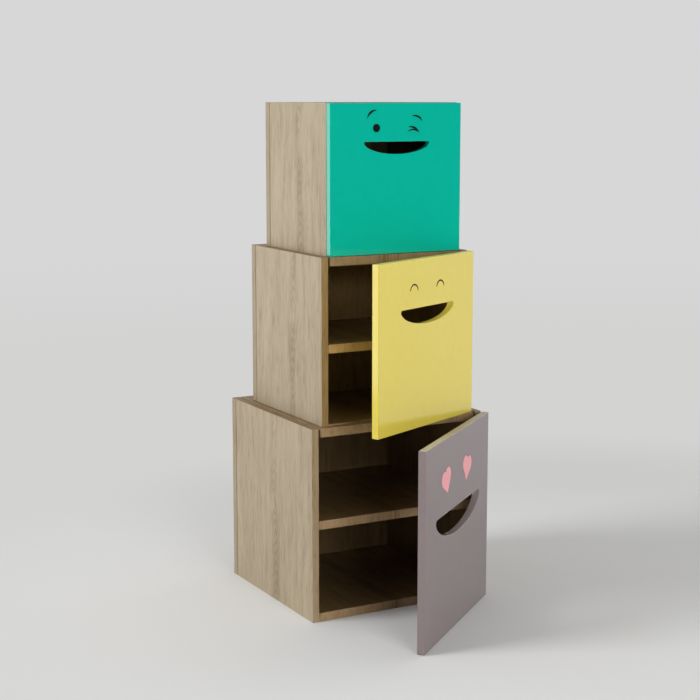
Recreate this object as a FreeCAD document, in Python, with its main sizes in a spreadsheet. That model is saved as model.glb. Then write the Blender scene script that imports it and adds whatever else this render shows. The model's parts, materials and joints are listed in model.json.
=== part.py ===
import FreeCAD, Part
import math
import os
import re

import Sketcher
from FreeCAD import Vector

# A tower of three box cabinets, each with one hinged door. Millimetres and degrees.
# X runs to the right, Y to the back and Z up. The origin is the centre of the bottom
# cabinet's footprint, on the floor.

doc = FreeCAD.newDocument("StackedCabinets")
sheet = doc.addObject("Spreadsheet::Sheet", "Sizes")

# Sizes that all three cabinets share
SHARED_SIZES = {
    "side_thickness": 15,  # side boards
    "board_thickness": 18,  # top boards, shelves and the bottom cabinet's base
    "back_thickness": 18,  # back boards, laid over the rear edges
    "sheet_thickness": 4,  # floor sheets of the two upper cabinets
    "sheet_rebate": 4,  # how far a floor sheet is let into each side
    "door_thickness": 15,
    "board_bevel": 0.5,  # eased edges of the boards
    "door_round": 1,  # rounded edges of the lacquered doors
    "shadow_gap": 4,  # open joint between a top board and each side
    "shelf_gap": 0.4,  # play of a shelf at each end and at the back
    "door_gap": 1,  # between the carcass front and a closed door
    "door_reveal": 1,  # above and below a door
    "dowel_radius": 4,
    "dowel_length": 30,
    "dowel_in_side": 9,
    "dowel_inset": 30,  # from the front edge and from the back board
    "dowel_from_peg": 25,  # where locating pegs enter the same board
    "glue_gap": 0.05,  # round a glued dowel, a peg or a pressed-in pin
    "bore_end_gap": 1,  # beyond the end of a dowel, peg or pin
    "pin_radius": 2.5,  # shelf pins
    "pin_length": 16,
    "pin_in_side": 8,
    "pin_inset": 37,
    "peg_radius": 3,  # locating pegs between the cabinets
    "peg_length": 20,
    "peg_in_board": 12,
    "peg_inset": 40,  # from the upper cabinet's front edge and back board
    "peg_from_side": 6,  # from the upper cabinet's outer face
    "peg_clearance": 0.3,  # round a peg in its socket
    "bolt_head_radius": 4,  # long screws through the back board
    "bolt_head_depth": 2.5,
    "bolt_radius": 1.8,
    "bolt_length": 45,
    "bolt_inset": 60,  # from the end of the edge that a screw enters
    "screw_head_radius": 2.6,  # short screws of the hinges
    "screw_head_depth": 1.1,
    "screw_radius": 1.4,
    "screw_length": 12,
    "screw_clearance": 0.05,
    "hinge_inset": 60,  # from the cabinet's top and underside to a hinge's middle
    "hinge_length": 50,
    "leaf_width": 12,  # of a hinge leaf on its board
    "leaf_thickness": 1.2,
    "leaf_screw_spread": 28,  # between the two screws of a leaf
    "knuckle_radius": 3,
    "knuckle_gap": 0.3,  # between knuckles that turn against each other
    "hinge_pin_radius": 1.5,
    "hinge_pin_clearance": 0.05,
    "pin_cap_radius": 2.4,
    "pin_cap_height": 1,
    "axis_out": 3.4,  # hinge axis beyond the side's outer face
    "axis_forward": 1.8,  # hinge axis in front of the carcass
    "bumper_radius": 4,
    "bumper_gap": 0.3,  # between a bumper of the closed door and the side's edge
    "bumper_inset": 14,
    "figure_thickness": 0.4,  # eyes and brows applied to the doors
}

# Sizes of each cabinet, from the floor up. An upper cabinet's width and depth come from
# how far it stands in from the edges of the one below. A smile hangs from the door's top edge.
CABINET_SIZES = {
    "bottom": {
        "width": 400,
        "height": 400,
        "depth": 384,  # carcass with its back board, without the door
        "shelf_level": 192.5,  # underside of the shelf above the cabinet's underside
        "open_angle": 39.4,
        "smile_shift": 2.3,  # of its middle to the right of the door's
        "smile_top": 150.5,
        "smile_width": 281,
        "smile_depth": 53,
        "smile_tip": 7,  # rounding of the mouth's two corners
    },
    "middle": {
        "height": 340,
        "side_inset": 30,
        "front_inset": 15,
        "rear_inset": 45,
        "shelf_level": 147.5,
        "open_angle": 25.1,
        "smile_shift": 0.3,
        "smile_top": 96.5,
        "smile_width": 190,
        "smile_depth": 33,
        "smile_tip": 4,
    },
    "top": {
        "height": 302,
        "side_inset": 19,
        "front_inset": 15,
        "rear_inset": 35,
        "shelf_level": 130,
        "open_angle": 0,
        "smile_shift": 1,
        "smile_top": 76.3,
        "smile_width": 152,
        "smile_depth": 24.5,
        "smile_tip": 3,
    },
}

# Figures of the faces. Places run from the middle of the mouth's straight upper edge.
HEART_SIZES = {
    "heart_side": 32,  # side of the square under a heart's two lobes
    "left_heart_x": -76.5,
    "left_heart_z": 62,
    "left_heart_tilt": 15,
    "right_heart_x": 51.7,
    "right_heart_z": 61,
    "right_heart_tilt": -10,
}
ARCH_SIZES = {
    "arch_radius": 14.1,  # outer arc of an arched eye
    "arch_drop": 1.2,  # its centre, below the eye's two ends
    "arch_hollow_radius": 12.7,  # inner arc, set lower so that the crown is thicker than the ends
    "arch_hollow_drop": 2.9,
    "left_arch_x": -49.3,
    "left_arch_z": 36.2,
    "right_arch_x": 44.2,
    "right_arch_z": 36.2,
}
ROUND_EYE_SIZES = {
    "pupil_radius": 8.2,
    "pupil_x": -47.7,
    "pupil_z": 27.1,
}
# Crescents: the middle of the chord, the chord's length and tilt, and the rise of both arcs
CRESCENT_SIZES = {
    "left_brow": {"x": -57.4, "z": 53.7, "chord": 27.8, "tilt": 37, "rise": 7.4, "hollow": 3},
    "right_brow": {"x": 45.6, "z": 44.7, "chord": 27.6, "tilt": -22, "rise": 7.3, "hollow": 3.2},
    "upper_wink": {"x": 37.6, "z": 22.4, "chord": 28.8, "tilt": -22.5, "rise": 7.5, "hollow": 3.4},
    "lower_wink": {"x": 37.2, "z": 17.7, "chord": 27.6, "tilt": -4, "rise": 7.4, "hollow": 4.2},
}


def write_sheet():
    """Fill the sheet with every driving size, each under its own name."""
    sizes = dict(SHARED_SIZES)
    for cabinet, own_sizes in CABINET_SIZES.items():
        sizes.update({f"{cabinet}_{key}": size for key, size in own_sizes.items()})
    for figures in (HEART_SIZES, ARCH_SIZES, ROUND_EYE_SIZES):
        sizes.update(figures)
    for crescent, own_sizes in CRESCENT_SIZES.items():
        sizes.update({f"{crescent}_{key}": size for key, size in own_sizes.items()})
    for row, (alias, size) in enumerate(sizes.items(), start=1):
        sheet.set(f"A{row}", alias.replace("_", " "))
        sheet.set(f"B{row}", str(size))
        sheet.setAlias(f"B{row}", alias)
    doc.recompute()


write_sheet()


# Formulas are written with the plain names of sizes, such as "side_thickness / 2".
def formula(text):
    """Point every size name in a formula at its cell."""
    return re.sub(r"\b[a-z]+(_[a-z]+)+\b", r"Sizes.\g<0>", text)


def value(text):
    """Present value of a formula."""
    return float(sheet.evalExpression(text))


DIRECTIONS = {
    "+z": "vector(0; 0; 1); 0",
    "+x": "vector(0; 1; 0); 90",
    "-x": "vector(0; 1; 0); -90",
    "+y": "vector(1; 0; 0); -90",
    "-y": "vector(1; 0; 0); 90",
}


def at(x, y, z, turn=DIRECTIONS["+z"]):
    """Placement formula for a point and a turn."""
    return f"placement(vector({x}; {y}; {z}); rotation({turn}))"


def place(item, placement):
    item.setExpression("Placement", formula(placement))
    return item


def primitive(kind, name, sizes, placement):
    """Part primitive with its sizes and its place bound to the sheet."""
    item = doc.addObject("Part::" + kind, name)
    for key, text in sizes.items():
        item.setExpression(key, formula(text))
    return place(item, placement)


def block(name, size, corner):
    """Rectangular solid, from its sizes along X, Y and Z and its lowest corner."""
    return primitive("Box", name, dict(zip(("Length", "Width", "Height"), size)), at(*corner))


def rod(name, radius, length, start, along="+z"):
    placement = at(*start, DIRECTIONS[along])
    return primitive("Cylinder", name, {"Radius": radius, "Height": length}, placement)


def cone(name, radii, length, start, along="+z"):
    sizes = {"Radius1": radii[0], "Radius2": radii[1], "Height": length}
    return primitive("Cone", name, sizes, at(*start, DIRECTIONS[along]))


def group(name, items):
    """Separate solids kept side by side as one object."""
    item = doc.addObject("Part::Compound", name)
    item.Links = items
    return item


def joined(name, items):
    item = doc.addObject("Part::MultiFuse", name)
    item.Shapes = items
    return item


def cut(name, base, cutters):
    item = doc.addObject("Part::Cut", name)
    item.Base = base
    item.Tool = joined(name + "_cutters", cutters) if len(cutters) > 1 else cutters[0]
    return item


def rectangle(body, name, plane, wide, tall, corner):
    """Sketch of a rectangle whose lowest corner lies at a point of one of the body's planes."""
    sketch = body.newObject("Sketcher::SketchObject", name)
    sketch.AttachmentSupport = [(origin_plane(body, plane), "")]
    sketch.MapMode = "FlatFace"
    sketch.setExpression("AttachmentOffset", formula(at(*corner)))
    across, up = value(wide), value(tall)
    points = [Vector(0, 0), Vector(across, 0), Vector(across, up), Vector(0, up)]
    for start, end in zip(points, points[1:] + points[:1]):
        sketch.addGeometry(Part.LineSegment(start, end), False)
    for side in range(4):
        sketch.addConstraint(Sketcher.Constraint("Coincident", side, 2, (side + 1) % 4, 1))
        level = "Vertical" if side % 2 else "Horizontal"
        sketch.addConstraint(Sketcher.Constraint(level, side))
    sketch.addConstraint(Sketcher.Constraint("Coincident", 0, 1, -1, 1))
    dimension(sketch, "wide", Sketcher.Constraint("DistanceX", 0, 1, 0, 2, across), wide)
    dimension(sketch, "tall", Sketcher.Constraint("DistanceY", 1, 1, 1, 2, up), tall)
    return sketch


def origin_plane(body, role):
    return next(plane for plane in body.Origin.OriginFeatures if plane.Role == role)


def dimension(sketch, name, constraint, text):
    """Named constraint of a sketch, bound to a formula."""
    index = sketch.addConstraint(constraint)
    sketch.renameConstraint(index, name)
    sketch.setExpression("Constraints." + name, formula(text))


def pad(body, sketch, name, length):
    feature = body.newObject("PartDesign::Pad", name)
    feature.Profile = sketch
    feature.setExpression("Length", formula(length))
    return feature


def board(name, size, corner):
    """Board padded up from its plan, with a small bevel along every edge."""
    body = doc.addObject("PartDesign::Body", name + "_body")
    plan = rectangle(body, name + "_plan", "XY_Plane", size[0], size[1], corner)
    slab = pad(body, plan, name + "_slab", size[2])
    bevel = body.newObject("PartDesign::Chamfer", name + "_bevel")
    bevel.Base = (slab, ["Edge1"])
    bevel.UseAllEdges = True
    bevel.setExpression("Size", formula("board_bevel"))
    return body


NODES = []


def finish(item, label, placement):
    """Name a sub-part and put it into its frame."""
    item.Label = label
    place(item, placement)
    NODES.append(item)


# Fasteners. The grown forms are the holes that they sit in.
def screw(name, start, along, clearance="0"):
    """Short countersunk wood screw, from the middle of its head's top face."""
    head = cone(
        name + "_head",
        (f"screw_head_radius + {clearance}", f"screw_radius + {clearance}"),
        "screw_head_depth",
        start,
        along,
    )
    radius, length = f"screw_radius + {clearance}", f"screw_length + {clearance}"
    return joined(name, [head, rod(name + "_shank", radius, length, start, along)])


def screw_pair(name, start, along):
    """A screw, and the cutter of its hole."""
    return screw(name, start, along), screw(name + "_hole", start, along, "screw_clearance")


def bolt(name, start, along, clearance="0"):
    """Long countersunk screw, from the middle of its head's top face."""
    head = cone(
        name + "_head",
        (f"bolt_head_radius + {clearance}", f"bolt_radius + {clearance}"),
        "bolt_head_depth",
        start,
        along,
    )
    radius, length = f"bolt_radius + {clearance}", f"bolt_length + {clearance}"
    return joined(name, [head, rod(name + "_shank", radius, length, start, along)])


class Cabinet:
    """Formulas of one cabinet. Its own frame has X in the middle, Y at the carcass front, Z at its foot."""

    def __init__(self, name, below=None):
        self.name = name
        self.height = f"{name}_height"
        if below:
            self.width = f"({below.width} - 2 * {name}_side_inset)"
            self.depth = f"({below.depth} - {name}_front_inset - {name}_rear_inset)"
            self.front = f"({below.front} + {name}_front_inset)"
            self.foot = f"({below.foot} + {below.height})"
        else:
            self.width = f"{name}_width"
            self.depth = f"{name}_depth"
            self.front = f"(-{name}_depth / 2)"
            self.foot = "0"
        self.half = f"({self.width} / 2)"
        self.inner = f"({self.half} - side_thickness)"
        self.reach = f"({self.depth} - back_thickness)"
        self.dowel_rows = {"front": "dowel_inset", "rear": f"{self.reach} - dowel_inset"}
        self.frame = at("0", self.front, self.foot)
        swing = f"vector(0; 0; 1); {name}_open_angle"
        hinge_x = f"{self.half} + axis_out"
        self.door_frame = at(hinge_x, f"{self.front} - axis_forward", self.foot, swing)
        self.top_bores = []
        self.side_bores = {"left": [], "right": []}
        self.base_bores = []
        self.back_bores = []
        self.door_bores = []

    def label(self, piece):
        return f"{self.name}_{piece}"

    def keep(self, item, piece):
        finish(item, self.label(piece), self.frame)

    def keep_on_door(self, item, piece):
        finish(item, self.label(piece), self.door_frame)


CABINETS = [Cabinet("bottom")]
for upper_name in ("middle", "top"):
    CABINETS.append(Cabinet(upper_name, below=CABINETS[-1]))
SIDES = {"left": ("-1", "+x", "-x"), "right": ("1", "-x", "+x")}
BACK_FACE = "(axis_forward - door_gap)"  # the door's back, seen from the hinge axis
FRONT_FACE = "(axis_forward - door_gap - door_thickness)"


def dowels(cabinet):
    """Dowels between the sides and the boards that they carry, with their bores."""
    levels = {"top": f"{cabinet.height} - board_thickness / 2"}
    if cabinet.name == "bottom":
        levels["base"] = "board_thickness / 2"
    pegs = []
    for side, (sign, inward, _) in SIDES.items():
        for level, z in levels.items():
            for row, y in cabinet.dowel_rows.items():
                name = cabinet.label(f"dowel_{side}_{level}_{row}")
                end = f"{sign} * ({cabinet.inner} + dowel_in_side)"
                pegs.append(rod(name, "dowel_radius", "dowel_length", (end, y, z), inward))
                bore_end = f"{sign} * ({cabinet.inner} + dowel_in_side + bore_end_gap)"
                radius = "dowel_radius + glue_gap"
                length = "dowel_length + 2 * bore_end_gap"
                bore = rod(name + "_bore", radius, length, (bore_end, y, z), inward)
                cabinet.side_bores[side].append(bore)
                (cabinet.top_bores if level == "top" else cabinet.base_bores).append(bore)
    cabinet.keep(group(cabinet.label("dowel_set"), pegs), "dowels")


def shelf_and_pins(cabinet):
    """Loose shelf on four pins."""
    level = f"{cabinet.name}_shelf_level"
    size = (f"2 * ({cabinet.inner} - shelf_gap)", f"{cabinet.reach} - shelf_gap", "board_thickness")
    corner = (f"shelf_gap - {cabinet.inner}", "0", level)
    cabinet.keep(board(cabinet.label("shelf_board"), size, corner), "shelf")
    pins = []
    for side, (sign, inward, _) in SIDES.items():
        for row, y in {"front": "pin_inset", "rear": f"{cabinet.reach} - pin_inset"}.items():
            name = cabinet.label(f"pin_{side}_{row}")
            z = f"{level} - pin_radius"
            end = f"{sign} * ({cabinet.inner} + pin_in_side)"
            pins.append(rod(name, "pin_radius", "pin_length", (end, y, z), inward))
            bore_end = f"{sign} * ({cabinet.inner} + pin_in_side + bore_end_gap)"
            length = "pin_in_side + 2 * bore_end_gap"
            bore = rod(name + "_bore", "pin_radius + glue_gap", length, (bore_end, y, z), inward)
            cabinet.side_bores[side].append(bore)
    cabinet.keep(group(cabinet.label("pin_set"), pins), "shelf_pins")


def back_screws(cabinet):
    """Long screws through the back board into the sides, the top board and the base."""
    points = {}
    for side, (sign, _, _) in SIDES.items():
        x = f"{sign} * ({cabinet.half} - side_thickness / 2)"
        points[side, "low"] = (x, "bolt_inset")
        points[side, "high"] = (x, f"{cabinet.height} - bolt_inset")
        x = f"{sign} * ({cabinet.inner} - bolt_inset)"
        points[side, "top"] = (x, f"{cabinet.height} - board_thickness / 2")
        if cabinet.name == "bottom":
            points[side, "base"] = (x, "board_thickness / 2")
    bolts = []
    for (side, spot), (x, z) in points.items():
        name = cabinet.label(f"bolt_{side}_{spot}")
        start = (x, cabinet.depth, z)
        bolts.append(bolt(name, start, "-y"))
        hole = bolt(name + "_hole", start, "-y", "screw_clearance")
        cabinet.back_bores.append(hole)
        receivers = {"top": cabinet.top_bores, "base": cabinet.base_bores}
        receivers.get(spot, cabinet.side_bores[side]).append(hole)
    cabinet.keep(group(cabinet.label("bolt_set"), bolts), "back_screws")


def locating_pegs(lower, upper):
    """Pegs in a top board that enter the sides of the cabinet above, in the lower one's frame."""
    pegs = []
    step = f"{upper.name}_front_inset"
    rows = {"front": "peg_inset", "rear": f"{upper.reach} - peg_inset"}
    lower.dowel_rows = {
        "front": f"{step} + {rows['front']} - dowel_from_peg",
        "rear": f"{step} + {rows['rear']} + dowel_from_peg",
    }
    for side, (sign, _, _) in SIDES.items():
        for row, y in rows.items():
            x = f"{sign} * ({upper.half} - peg_from_side)"
            name = lower.label(f"peg_{side}_{row}")
            foot = (x, f"{step} + {y}", f"{lower.height} - peg_in_board")
            pegs.append(rod(name, "peg_radius", "peg_length", foot))
            bore_foot = (x, f"{step} + {y}", f"{lower.height} - peg_in_board - bore_end_gap")
            radius = "peg_radius + glue_gap"
            bore = rod(name + "_bore", radius, "peg_in_board + 2 * bore_end_gap", bore_foot)
            lower.top_bores.append(bore)
            depth = "peg_length - peg_in_board + 2 * bore_end_gap"
            socket_foot = (x, y, "-bore_end_gap")
            socket = rod(name + "_socket", "peg_radius + peg_clearance", depth, socket_foot)
            upper.side_bores[side].append(socket)
    lower.keep(group(lower.label("peg_set"), pegs), "pegs")


# Hinges. The axis stands outside the side board; one leaf lies in the side's front edge,
# the other in the door's back.
def hinge_levels(cabinet):
    middles = {"low": "hinge_inset", "high": f"{cabinet.height} - hinge_inset"}
    return {key: f"({middle} - hinge_length / 2)" for key, middle in middles.items()}


def leaf(name, plate, tongue, knuckle_axis, spans, screws):
    """Hinge leaf: a plate with tongues that end in knuckles, bored for the pin and the screws."""
    solids = [plate]
    for number, (start, length) in enumerate(spans):
        solids.append(tongue(f"{name}_tongue_{number}", start, length))
        foot = (*knuckle_axis, start)
        solids.append(rod(f"{name}_knuckle_{number}", "knuckle_radius", length, foot))
    start, length = spans[0][0], f"({spans[-1][0]}) - ({spans[0][0]}) + {spans[-1][1]}"
    foot = (*knuckle_axis, f"{start} - bore_end_gap")
    radius = "hinge_pin_radius + hinge_pin_clearance"
    bore = rod(name + "_bore", radius, f"{length} + 2 * bore_end_gap", foot)
    return cut(name, joined(name + "_blank", solids), [bore] + screws)


def hinges(cabinet):
    """Two butt hinges with their pins and screws."""
    side_leaves, door_leaves, pins, side_screws, door_screws = [], [], [], [], []
    third = "hinge_length / 3"
    for key, low in hinge_levels(cabinet).items():
        screw_levels = [
            f"{low} + (hinge_length - leaf_screw_spread) / 2",
            f"{low} + (hinge_length + leaf_screw_spread) / 2",
        ]
        end_length = f"({third} - knuckle_gap / 2)"
        outer_spans = [(low, end_length), (f"{low} + 2 * {third} + knuckle_gap / 2", end_length)]
        inner_spans = [(f"{low} + {third} + knuckle_gap / 2", f"({third} - knuckle_gap)")]

        name = cabinet.label(f"side_leaf_{key}")
        plate_size = ("leaf_width", "leaf_thickness", "hinge_length")
        plate = block(name + "_plate", plate_size, (f"{cabinet.half} - leaf_width", "0", low))
        axis = (f"{cabinet.half} + axis_out", "-axis_forward")
        side_screw_x = f"{cabinet.half} - leaf_width / 2"
        pairs = [
            screw_pair(f"{name}_screw_{number}", (side_screw_x, "0", z), "+y")
            for number, z in enumerate(screw_levels)
        ]

        def side_tongue(tongue_name, start, length):
            size = ("axis_out", "leaf_thickness", length)
            return block(tongue_name, size, (cabinet.half, "0", start))

        holes = [hole for _, hole in pairs]
        side_leaves.append(leaf(name, plate, side_tongue, axis, outer_spans, holes))
        side_screws += [item for item, _ in pairs]
        cabinet.side_bores["right"] += [plate] + holes

        name = cabinet.label(f"door_leaf_{key}")
        plate_corner = ("-axis_out - leaf_width", f"{BACK_FACE} - leaf_thickness", low)
        plate = block(name + "_plate", plate_size, plate_corner)
        door_screw_x = "-axis_out - leaf_width / 2"
        pairs = [
            screw_pair(f"{name}_screw_{number}", (door_screw_x, BACK_FACE, z), "-y")
            for number, z in enumerate(screw_levels)
        ]

        def door_tongue(tongue_name, start, length):
            size = ("axis_out - knuckle_radius + leaf_thickness", "leaf_thickness", length)
            return block(tongue_name, size, ("-axis_out", f"{BACK_FACE} - leaf_thickness", start))

        holes = [hole for _, hole in pairs]
        door_leaves.append(leaf(name, plate, door_tongue, ("0", "0"), inner_spans, holes))
        door_screws += [item for item, _ in pairs]
        cabinet.door_bores += [plate] + holes

        name = cabinet.label(f"hinge_pin_{key}")
        shaft = rod(name + "_shaft", "hinge_pin_radius", "hinge_length", (*axis, low))
        cap_feet = {"low_cap": f"{low} - pin_cap_height", "high_cap": f"{low} + hinge_length"}
        caps = [
            rod(f"{name}_{cap}", "pin_cap_radius", "pin_cap_height", (*axis, foot))
            for cap, foot in cap_feet.items()
        ]
        pins.append(joined(name, [shaft] + caps))

    cabinet.keep(group(cabinet.label("side_leaf_set"), side_leaves), "side_hinge_leaves")
    cabinet.keep_on_door(group(cabinet.label("door_leaf_set"), door_leaves), "door_hinge_leaves")
    cabinet.keep(group(cabinet.label("hinge_pin_set"), pins), "hinge_pins")
    return side_screws, door_screws


def bumpers(cabinet):
    """Two soft dots on the door's back that meet the left side's front edge."""
    x = f"side_thickness / 2 - {cabinet.width} - axis_out"
    levels = {"low": "bumper_inset", "high": f"{cabinet.height} - bumper_inset"}
    thickness = "door_gap - bumper_gap"
    dots = [
        rod(cabinet.label(f"bumper_{key}"), "bumper_radius", thickness, (x, BACK_FACE, z), "+y")
        for key, z in levels.items()
    ]
    cabinet.keep_on_door(group(cabinet.label("bumper_set"), dots), "door_bumpers")


def smile_sketch(body, cabinet):
    """Mouth outline: a straight upper edge over half an ellipse."""
    sketch = body.newObject("Sketcher::SketchObject", cabinet.label("smile_outline"))
    sketch.AttachmentSupport = [(origin_plane(body, "XZ_Plane"), "")]
    sketch.MapMode = "FlatFace"
    x, z = mouth_place(cabinet)
    sketch.setExpression("AttachmentOffset", formula(at(x, z, "0")))
    wide, deep = f"{cabinet.name}_smile_width", f"{cabinet.name}_smile_depth"
    reach, drop = value(wide) / 2, value(deep)
    ellipse = Part.Ellipse(Vector(0, 0, 0), reach, drop)
    lip = sketch.addGeometry(Part.ArcOfEllipse(ellipse, math.pi, 2 * math.pi), False)
    edge = sketch.addGeometry(Part.LineSegment(Vector(-reach, 0, 0), Vector(reach, 0, 0)), False)
    sketch.exposeInternalGeometry(lip)
    long_axis, short_axis = edge + 1, edge + 2
    sketch.addConstraint(Sketcher.Constraint("Coincident", lip, 3, -1, 1))
    for end in (1, 2):
        sketch.addConstraint(Sketcher.Constraint("PointOnObject", lip, end, -1))
        sketch.addConstraint(Sketcher.Constraint("Coincident", lip, end, edge, end))
    sketch.addConstraint(Sketcher.Constraint("Horizontal", long_axis))
    dimension(sketch, "wide", Sketcher.Constraint("Distance", long_axis, 2 * reach), wide)
    dimension(sketch, "deep", Sketcher.Constraint("Distance", short_axis, 2 * drop), f"2 * {deep}")
    return sketch


def mouth_place(cabinet):
    """Middle of the mouth's upper edge, in the door's frame: along X and along Z."""
    x = f"{cabinet.name}_smile_shift - {cabinet.half} - axis_out"
    z = f"{cabinet.height} - door_reveal - {cabinet.name}_smile_top"
    return x, z


def door(cabinet):
    """Door slab with the smile cut through it as a finger pull."""
    name = cabinet.label("door")
    body = doc.addObject("PartDesign::Body", name + "_body")
    corner = (f"-{cabinet.width} - axis_out", "door_reveal", f"-{BACK_FACE}")
    tall = f"{cabinet.height} - 2 * door_reveal"
    outline = rectangle(body, name + "_outline", "XZ_Plane", cabinet.width, tall, corner)
    slab = pad(body, outline, name + "_slab", "door_thickness")
    mouth = body.newObject("PartDesign::Pocket", name + "_mouth")
    mouth.Profile = smile_sketch(body, cabinet)
    mouth.Type = "ThroughAll"
    mouth.Midplane = True
    doc.recompute()
    if mouth.Shape.Volume >= slab.Shape.Volume:
        raise RuntimeError(name + ": the mouth cuts nothing")
    tips = body.newObject("PartDesign::Fillet", name + "_tips")
    tips.Base = (mouth, mouth_corners(mouth.Shape))
    tips.setExpression("Radius", formula(f"{cabinet.name}_smile_tip"))
    soft_edges = body.newObject("PartDesign::Fillet", name + "_edges")
    soft_edges.Base = (tips, ["Edge1"])
    soft_edges.UseAllEdges = True
    soft_edges.setExpression("Radius", formula("door_round"))
    cabinet.keep_on_door(cut(name + "_bored", body, cabinet.door_bores), "door")


def mouth_corners(shape):
    """Names of the two edges that run through the door at the mouth's corners."""
    bounds = shape.BoundBox
    names = []
    for number, edge in enumerate(shape.Edges, start=1):
        middle = edge.CenterOfMass
        through = abs(edge.tangentAt(edge.FirstParameter).y) > 0.99
        if through and bounds.XMin + 1 < middle.x < bounds.XMax - 1:
            names.append(f"Edge{number}")
    return names


# Figures of the faces, drawn flat as thin plates and then stood up on the door
def disc(name, radius, x, z):
    return rod(name, radius, "figure_thickness", (x, z, "0"))


def heart(name, key):
    """A square on its corner with a round lobe on each upper side."""
    half = "heart_side / 2"
    square = block(name + "_square", ("heart_side", "heart_side", "figure_thickness"), ("0", "0", "0"))
    left_lobe = disc(name + "_left_lobe", half, half, "heart_side")
    right_lobe = disc(name + "_right_lobe", half, "heart_side", half)
    shape = joined(name + "_shape", [square, left_lobe, right_lobe])
    place(shape, at("0", "-heart_side * sqrt(2) / 2", "0", "vector(0; 0; 1); 45"))
    whole = group(name, [shape])
    return place(whole, at(f"{key}_x", f"{key}_z", "0", f"vector(0; 0; 1); {key}_tilt"))


def arch(name, key):
    """Arc with a thick crown and thinner round ends, open downwards."""
    outer = disc(name + "_outer", "arch_radius", "0", "-arch_drop")
    inner = disc(name + "_inner", "arch_hollow_radius", "0", "-arch_hollow_drop")
    below = block(
        name + "_below",
        ("3 * arch_radius", "2 * arch_radius", "figure_thickness"),
        ("-1.5 * arch_radius", "-2 * arch_radius", "0"),
    )
    ring = cut(name + "_ring", outer, [inner, below])
    outside = "sqrt(arch_radius ^ 2 - arch_drop ^ 2)"
    inside = "sqrt(arch_hollow_radius ^ 2 - arch_hollow_drop ^ 2)"
    ends = [
        disc(f"{name}_{side}_end", f"({outside} - {inside}) / 2", f"{sign} * ({outside} + {inside}) / 2", "0")
        for side, (sign, _, _) in SIDES.items()
    ]
    return place(joined(name, [ring] + ends), at(f"{key}_x", f"{key}_z", "0"))


def crescent(name):
    """Stroke that tapers to both ends: a round cap less a flatter one over the same chord."""
    caps = {}
    for key in ("rise", "hollow"):
        rise = f"{name}_{key}"
        radius = f"(({name}_chord ^ 2 / 4 + {rise} ^ 2) / (2 * {rise}))"
        caps[key] = disc(f"{name}_{key}_disc", radius, "0", f"{rise} - {radius}")
    stroke = cut(name + "_stroke", caps["rise"], [caps["hollow"]])
    return place(stroke, at(f"{name}_x", f"{name}_z", "0", f"vector(0; 0; 1); {name}_tilt"))


FIGURES = {
    "bottom": lambda: [heart("heart_left", "left_heart"), heart("heart_right", "right_heart")],
    "middle": lambda: [arch("arch_left", "left_arch"), arch("arch_right", "right_arch")],
    "top": lambda: [
        disc("pupil", "pupil_radius", "pupil_x", "pupil_z"),
        crescent("left_brow"),
        crescent("right_brow"),
        joined("wink", [crescent("upper_wink"), crescent("lower_wink")]),
    ],
}


def eyes(cabinet):
    """Applied eyes of the door's face."""
    figures = group(cabinet.label("figures"), FIGURES[cabinet.name]())
    x, z = mouth_place(cabinet)
    place(figures, at(x, FRONT_FACE, z, DIRECTIONS["-y"]))
    cabinet.keep_on_door(group(cabinet.label("figure_set"), [figures]), "door_eyes")


# Carcass boards, cut last because every fitting adds its bores first
def side_boards(cabinet):
    for side, (sign, _, _) in SIDES.items():
        left = f"-{cabinet.half}" if side == "left" else cabinet.inner
        name = cabinet.label(f"{side}_panel")
        size = ("side_thickness", cabinet.reach, cabinet.height)
        blank = board(name, size, (left, "0", "0"))
        cabinet.keep(cut(name + "_bored", blank, cabinet.side_bores[side]), f"{side}_side")


def floor_rebate(cabinet):
    """Floor sheet of an upper cabinet, let into both sides."""
    width = f"2 * ({cabinet.inner} + sheet_rebate)"
    corner = (f"-{cabinet.inner} - sheet_rebate", "0", "0")
    sheet_block = block(cabinet.label("sheet"), (width, cabinet.reach, "sheet_thickness"), corner)
    for side in SIDES:
        cabinet.side_bores[side].append(sheet_block)
    cabinet.keep(group(cabinet.label("sheet_set"), [sheet_block]), "floor_sheet")


def base_board(cabinet):
    """Base of the bottom cabinet, between its sides."""
    name = cabinet.label("base_panel")
    size = (f"2 * {cabinet.inner}", cabinet.reach, "board_thickness")
    blank = board(name, size, (f"-{cabinet.inner}", "0", "0"))
    cabinet.keep(cut(name + "_bored", blank, cabinet.base_bores), "base_board")


def top_board(cabinet):
    """Top between the sides, with an open joint at each end."""
    name = cabinet.label("top_panel")
    half = f"({cabinet.inner} - shadow_gap)"
    size = (f"2 * {half}", cabinet.reach, "board_thickness")
    blank = board(name, size, (f"-{half}", "0", f"{cabinet.height} - board_thickness"))
    cabinet.keep(cut(name + "_bored", blank, cabinet.top_bores), "top_board")


def back_board(cabinet):
    """Back laid over the rear edges, full width and height."""
    name = cabinet.label("back_panel")
    size = (cabinet.width, "back_thickness", cabinet.height)
    blank = board(name, size, (f"-{cabinet.half}", cabinet.reach, "0"))
    cabinet.keep(cut(name + "_bored", blank, cabinet.back_bores), "back_board")


def build(cabinet):
    dowels(cabinet)
    shelf_and_pins(cabinet)
    back_screws(cabinet)
    side_screws, door_screws = hinges(cabinet)
    cabinet.keep(group(cabinet.label("side_screw_set"), side_screws), "side_screws")
    cabinet.keep_on_door(group(cabinet.label("door_screw_set"), door_screws), "door_screws")
    bumpers(cabinet)
    door(cabinet)
    eyes(cabinet)
    if cabinet.name == "bottom":
        base_board(cabinet)
    else:
        floor_rebate(cabinet)
    side_boards(cabinet)
    top_board(cabinet)
    back_board(cabinet)


for lower, upper in zip(CABINETS, CABINETS[1:]):
    locating_pegs(lower, upper)
for one_cabinet in CABINETS:
    build(one_cabinet)
doc.recompute()

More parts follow.
